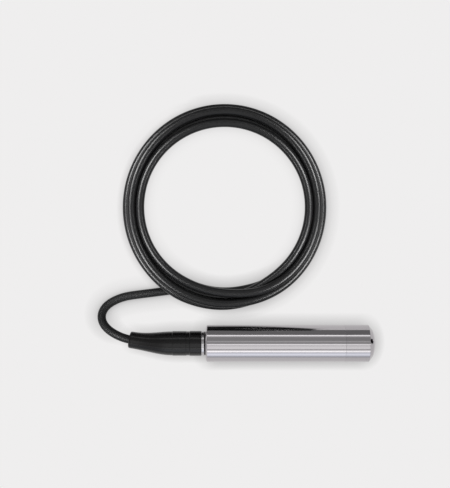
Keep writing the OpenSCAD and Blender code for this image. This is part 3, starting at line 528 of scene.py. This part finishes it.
# A cutter for one inlet hole: rings along an axis square to the chamfer, wider where it leaves the
# steel, turned round the probe
def inletCutter(turn):
    tilt = math.atan2(cap["chamferLength"], cap["chamferDepth"])
    axis = np.array([math.cos(tilt), 0, math.sin(tilt)])
    side, other = np.array([-math.sin(tilt), 0, math.cos(tilt)]), np.array([0, 1, 0])
    foot = np.array([shoulder + cap["chamferLength"] / 2, 0, bodyR - cap["chamferDepth"] / 2])
    edge, wide = cap["holeEdge"], cap["holeR"] + cap["holeFlare"]
    depth = np.array([-cap["holeDepth"], -cap["holeDepth"], -edge, edge, cap["holePast"], cap["holePast"]])
    radius = np.array([0, cap["holeR"], cap["holeR"], wide, wide, 0])
    angle = np.linspace(0, 2 * np.pi, cap["holeSides"], endpoint=False)[None, :, None]
    spoke = np.cos(angle) * side + np.sin(angle) * other
    rings = foot + depth[:, None, None] * axis + radius[:, None, None] * spoke
    c, s = math.cos(turn), math.sin(turn)
    return ringMesh("cutter", rings @ np.array([[1, 0, 0], [0, c, s], [0, -s, c]]) + axisZ * up)


# The cap is the turned section less its inlet holes, which stand at even angles round the axis from a
# first turn
def buildCap():
    piece = turnedPiece("nose_cap_turned", capSection(), sides=steelSides, loop=False)
    turns = [360 * i / cap["holes"] - cap["holeTurn"] for i in range(cap["holes"])]
    cutters = [inletCutter(math.radians(turn)) for turn in turns]
    for cutter in cutters:
        cut = piece.modifiers.new("inlet", "BOOLEAN")
        cut.object = cutter
        cut.solver = "EXACT"
    bpy.context.view_layer.update()
    solid = bpy.data.meshes.new_from_object(piece.evaluated_get(bpy.context.evaluated_depsgraph_get()))
    piece.modifiers.clear()
    piece.data = solid
    for cutter in cutters:
        bpy.data.objects.remove(cutter)
    piece.data.set_sharp_from_angle(angle=math.radians(cap["sharpAngle"]))
    return piece


capSteel = bareMetal("cap steel", (0.445, 0.427, 0.442), 0.1, (12, 900, 900), 0.0000015)
dress(buildCap(), capSteel, "cap_steel", "nose_cap")
print("nose cap")

# The pieces inside the probe and at the cable's free end keep their CAD shapes
plateSteel = bareMetal("capsule steel", (0.62, 0.63, 0.65), 0.25, (2500, 80, 80), 0.000002)
sealRubber = mouldedSurface("seal rubber", (0.012, 0.012, 0.012), 0.5, 0.4, 2500, 0.00001)
laminate = mouldedSurface("board laminate", (0.02, 0.15, 0.06), 0.35, 0.5, 1200, 0.00001)
redPlastic = mouldedSurface("red insulation", (0.45, 0.03, 0.025), 0.4, 0.5, 700, 0.00001)
greyPlastic = mouldedSurface("screen sleeve", (0.10, 0.10, 0.11), 0.5, 0.4, 700, 0.00001)
clearPlastic = mouldedSurface("capillary", (0.75, 0.75, 0.72), 0.35, 0.5, 500, 0.00001)
whiteFelt = mouldedSurface("porous filter", (0.82, 0.82, 0.80), 0.85, 0.2, 4000, 0.00006)
carried = {
    "sensor_carrier": turnedSteel, "retaining_ring": turnedSteel, "thrust_washer": turnedSteel,
    "crimp_sleeve": turnedSteel, "sensor_capsule": plateSteel, "weld_ring": plateSteel,
    "reference_tube": plateSteel, "carrier_o_ring": sealRubber, "capsule_o_ring": sealRubber,
    "gland_o_ring": sealRubber, "cable_seal": sealRubber, "header_board": laminate,
    "amplifier_board": laminate, "inner_conductors": redPlastic, "end_conductors": redPlastic,
    "inner_drain_wire": greyPlastic, "end_drain_wire": greyPlastic, "vent_capillary": clearPlastic,
    "end_capillary": clearPlastic, "capillary_filter": whiteFelt, "end_filter": whiteFelt,
    "isolating_diaphragm": bareMetal("diaphragm foil", (0.72, 0.72, 0.73), 0.18, (200, 200, 200), 0.000001),
    "header_pins": bareMetal("gold plating", (0.78, 0.58, 0.25), 0.25, (400, 400, 400), 0.000001),
    "sensing_chip": mouldedSurface("silicon", (0.12, 0.12, 0.15), 0.12, 0.6, 3000, 0.000001),
    "board_chips": mouldedSurface("chip moulding", (0.02, 0.02, 0.021), 0.55, 0.4, 3000, 0.00001),
    "surge_arresters": mouldedSurface("arrester ceramic", (0.62, 0.42, 0.38), 0.2, 0.5, 300, 0.00001),
    "board_capacitors": bareMetal("capacitor can", (0.66, 0.67, 0.69), 0.3, (300, 300, 1500), 0.000001),
    "terminal_block": mouldedSurface("terminal moulding", (0.03, 0.20, 0.08), 0.45, 0.5, 2000, 0.00001),
    "terminal_screws": bareMetal("tinned brass", (0.70, 0.62, 0.42), 0.3, (800, 800, 800), 0.000001),
    "insulating_sleeve": mouldedSurface("natural plastic", (0.70, 0.68, 0.60), 0.5, 0.4, 800, 0.00002),
    "end_ferrules": bareMetal("tinned ferrule", (0.66, 0.66, 0.64), 0.3, (600, 600, 600), 0.000001),
    "shrink_sleeve": mouldedSurface("shrunk tube", (0.012, 0.012, 0.013), 0.3, 0.5, 200, 0.00002),
}
for name, material in carried.items():
    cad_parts[name].data.materials.clear()
    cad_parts[name].data.materials.append(material)
print("carried over", len(carried))

# Floor: a pale glow with a painted shadow, darker close to whatever stands over it. It ends a little past
# the coil, where the world behind it has the same tone.
floor = {
    "end": 190, "half": 1300, "pale": (0.863, 0.855, 0.855), "paintedShadow": (0.165, 0.163, 0.163),
    "reach": 12, "lean": 340, "samples": 16,
}


# A ramp of colours over places between two ends, from (place, colour) pairs
def colorRamp(nodes, links, value, low, high, stops):
    ramp = nodes.new("ShaderNodeValToRGB")
    for i, (at, color) in enumerate(stops):
        element = ramp.color_ramp.elements[i] if i < 2 else ramp.color_ramp.elements.new(1)
        element.position = (at - low) / (high - low)
        element.color = (*color, 1)
    links.new(addSpread(nodes, links, value, low, high), ramp.inputs["Fac"])
    return ramp.outputs["Color"]


# A new material that only glows, in a colour to be linked to its glow
def newGlow(name):
    material, nodes, links, shader = newMaterial(name, (1, 1, 1), 1.0, 0.0, 0.0)
    nodes.remove(shader)
    glow = nodes.new("ShaderNodeEmission")
    links.new(glow.outputs["Emission"], nodes["Material Output"].inputs["Surface"])
    return material, nodes, links, glow


# The floor's glow carries its painted shadow: it glows by how open it lies, the share of the half sky
# within reach that nothing covers, as seen by a normal that leans towards a point over the camera's
# foot, so that both sides of the probe darken alike
def buildFloor():
    half, end = floor["half"] * mm, floor["end"] * mm
    corners = [(-half, -half, 0), (half, -half, 0), (half, end, 0), (-half, end, 0)]
    mesh = bpy.data.meshes.new("floor")
    mesh.from_pydata(corners, [], [(0, 1, 2, 3)])
    material, nodes, links, glow = newGlow("floor")
    place = nodes.new("ShaderNodeTexCoord")
    lean = nodes.new("ShaderNodeVectorMath")
    lean.operation = "SUBTRACT"
    lean.inputs[0].default_value = (camera.location.x, camera.location.y, floor["lean"] * mm)
    occlusion = nodes.new("ShaderNodeAmbientOcclusion")
    occlusion.samples = floor["samples"]
    occlusion.inputs["Distance"].default_value = floor["reach"] * mm
    # Painted shadow: the glow goes from the dark tone under full cover to the pale tone where nothing covers
    shade = nodes.new("ShaderNodeMix")
    shade.data_type = "RGBA"
    shade.inputs["A"].default_value = (*floor["paintedShadow"], 1)
    shade.inputs["B"].default_value = (*floor["pale"], 1)
    links.new(place.outputs["Object"], lean.inputs[1])
    links.new(lean.outputs["Vector"], occlusion.inputs["Normal"])
    links.new(occlusion.outputs["AO"], shade.inputs["Factor"])
    links.new(shade.outputs["Result"], glow.inputs["Color"])
    mesh.materials.append(material)
    piece = bpy.data.objects.new("floor", mesh)
    bpy.context.collection.objects.link(piece)


buildFloor()

# Tent: a dome over the object, lit in strips along the probe, each with the angle where it starts, its
# brightness and how cool its light is. Angles count from straight up, those towards the coil being
# positive, and between two strips the light changes over twice the edge. The strips reach as far ahead
# and back as the share "reach" of a direction's length. Past that they are faint, under a plain light
# that has the share "plainShare" of the glow. The camera doesn't see the dome but the world behind it,
# which has the floor's tone.
tent = {
    "strips": [
        (-180, 0.42, 1), (-82, 0.85, 1), (-73, 1.1, 1), (-59, 0.66, 1), (-51, 1.6, 0), (-43, 1.0, 0),
        (-37, 0.38, 0), (-31, 0.93, 0), (-12, 0.65, 0), (-6, 1.15, 0), (1, 0.34, 0), (14, 0.5, 0),
        (20, 0.28, 0), (45, 0.5, 0), (51, 1.3, 0), (58, 0.17, 0)],
    "cool": (-0.05, -0.01, 0.07), "edge": 1.0, "reach": 0.3, "soft": 0.05, "beyond": 0.24, "plainShare": 0.62,
    "size": 2.0, "gain": 1.36,
}


# Each point of the dome glows with its strip's light, by the angle of (y, z), and mostly with the plain
# light where the share of x in its direction is past the reach
def buildTent():
    bpy.ops.mesh.primitive_uv_sphere_add(radius=tent["size"], location=(0, 0, axisZ * mm))
    dome = bpy.context.object
    dome.name = "tent"
    dome.visible_camera = False
    material, nodes, links, glow = newGlow("tent light")
    place = nodes.new("ShaderNodeTexCoord")
    direction = nodes.new("ShaderNodeVectorMath")
    direction.operation = "NORMALIZE"
    split = nodes.new("ShaderNodeSeparateXYZ")
    angle = nodes.new("ShaderNodeMath")
    angle.operation = "ARCTAN2"
    lengthways = nodes.new("ShaderNodeMath")
    lengthways.operation = "ABSOLUTE"
    whole = nodes.new("ShaderNodeMix")
    whole.data_type = "RGBA"
    whole.inputs["B"].default_value = (tent["beyond"], tent["beyond"], tent["beyond"], 1)
    stops = []
    ends = [strip[0] for strip in tent["strips"][1:]] + [180]
    for (start, bright, cool), end in zip(tent["strips"], ends):
        color = [bright * tent["gain"] * (1 + cool * tint) for tint in tent["cool"]]
        stops += [(math.radians(at), color) for at in (start + tent["edge"], end - tent["edge"])]
    links.new(place.outputs["Object"], direction.inputs[0])
    links.new(direction.outputs["Vector"], split.inputs["Vector"])
    links.new(split.outputs["Y"], angle.inputs[0])
    links.new(split.outputs["Z"], angle.inputs[1])
    links.new(split.outputs["X"], lengthways.inputs[0])
    past = addSpread(nodes, links, lengthways.outputs["Value"], tent["reach"] - tent["soft"],
                     tent["reach"] + tent["soft"], 0, tent["plainShare"])
    links.new(past, whole.inputs["Factor"])
    links.new(colorRamp(nodes, links, angle.outputs["Value"], -math.pi, math.pi, stops), whole.inputs["A"])
    links.new(whole.outputs["Result"], glow.inputs["Color"])
    dome.data.materials.append(material)


world = bpy.data.worlds.new("backdrop")
world.use_nodes = True
world.node_tree.nodes["Background"].inputs["Color"].default_value = (*floor["pale"], 1)
bpy.context.scene.world = world
buildTent()

# Four small lamps with narrow beams, each beside one quarter of the coil, draw the streaks of light on
# its turns. They light only the cable, so that no steel edge mirrors them.
lamps = {"along": 195, "aside": 105, "height": 200, "targetAlong": 57, "targetAside": 31,
         "targetHeight": 10, "size": 0.14, "spread": 32, "power": 0.115}
lit = bpy.data.collections.new("lit by the lamps")
lit.objects.link(cablePiece)
coilMiddle = Vector((rearX + coilCentre[0] * mm, coilCentre[1] * mm, lamps["targetHeight"] * mm))
for alongSide in (-1, 1):
    for acrossSide in (-1, 1):
        light = bpy.data.lights.new("lamp", "AREA")
        light.shape = "SQUARE"
        light.size = lamps["size"]
        light.spread = math.radians(lamps["spread"])
        light.energy = lamps["power"]
        lamp = bpy.data.objects.new("lamp", light)
        target = Vector((alongSide * lamps["targetAlong"], acrossSide * lamps["targetAside"], 0)) * mm
        away = Vector((alongSide * lamps["along"], acrossSide * lamps["aside"], lamps["height"])) * mm
        lamp.location = coilMiddle + away
        lamp.rotation_euler = (away - target).to_track_quat("Z", "Y").to_euler()
        lamp.light_linking.receiver_collection = lit
        bpy.context.collection.objects.link(lamp)
print("floor and light")
